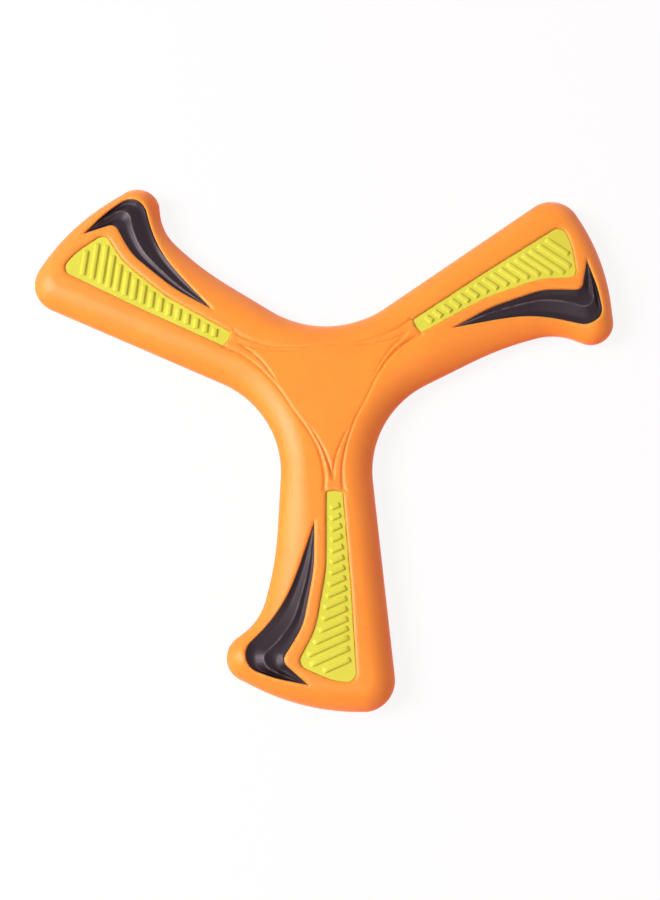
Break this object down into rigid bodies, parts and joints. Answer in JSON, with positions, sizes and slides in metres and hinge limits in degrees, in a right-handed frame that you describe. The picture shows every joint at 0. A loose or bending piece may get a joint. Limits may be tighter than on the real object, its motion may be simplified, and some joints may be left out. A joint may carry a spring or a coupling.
{
  "type": "boomerang",
  "caption": "Soft foam boomerang with swept blades around a grooved hub, pillowed edges, an inset grip panel and a sculpted fang-shaped inlay on each blade.",
  "frame": {"origin": "centre of the hub on the flat underside", "axes": "+Z out of the decorated face; one blade points along -Y, the others at 30 and 150 degrees from +X"},
  "size_m": [0.275, 0.2513, 0.0155],
  "materials": {
    "orange_foam": "matte",
    "yellow_foam": "matte",
    "black_foam": "satin"
  },
  "bodies": {
    "root": {"foam_body": "orange_foam", "lower_panel": "yellow_foam", "right_panel": "yellow_foam", "left_panel": "yellow_foam", "lower_fang": "black_foam", "right_fang": "black_foam", "left_fang": "black_foam"}
  },
  "joints": []
}
